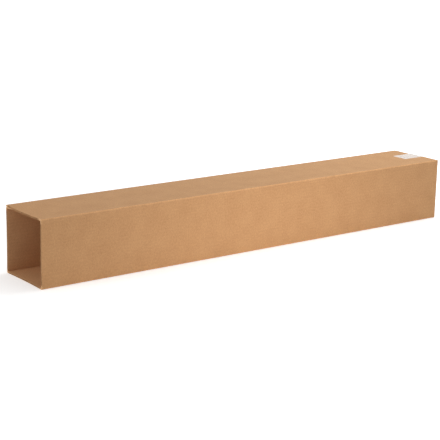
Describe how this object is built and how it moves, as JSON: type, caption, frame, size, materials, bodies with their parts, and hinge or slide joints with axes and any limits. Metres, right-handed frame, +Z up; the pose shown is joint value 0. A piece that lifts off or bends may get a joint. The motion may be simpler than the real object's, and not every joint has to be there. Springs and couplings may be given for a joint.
{
  "type": "telescoping box outer half",
  "caption": "Long square sleeve of corrugated board, the outer half of a telescoping shipping box, open at one end and closed at the other by taped flaps.",
  "frame": {"origin": "under the middle of the box, on the surface that it lies on", "axes": "+X runs along the box from the open end to the closed end, +Y across it to the far side, and +Z is up"},
  "size_m": [1.2276, 0.1604, 0.1608],
  "materials": {
    "kraft_board": "matt brown kraft liner, fine fibres, flutes faintly showing through",
    "clear_tape": "glossy clear packing tape"
  },
  "bodies": {
    "root": {"outer_box": "kraft_board", "sealing_tape": "clear_tape"}
  },
  "joints": []
}
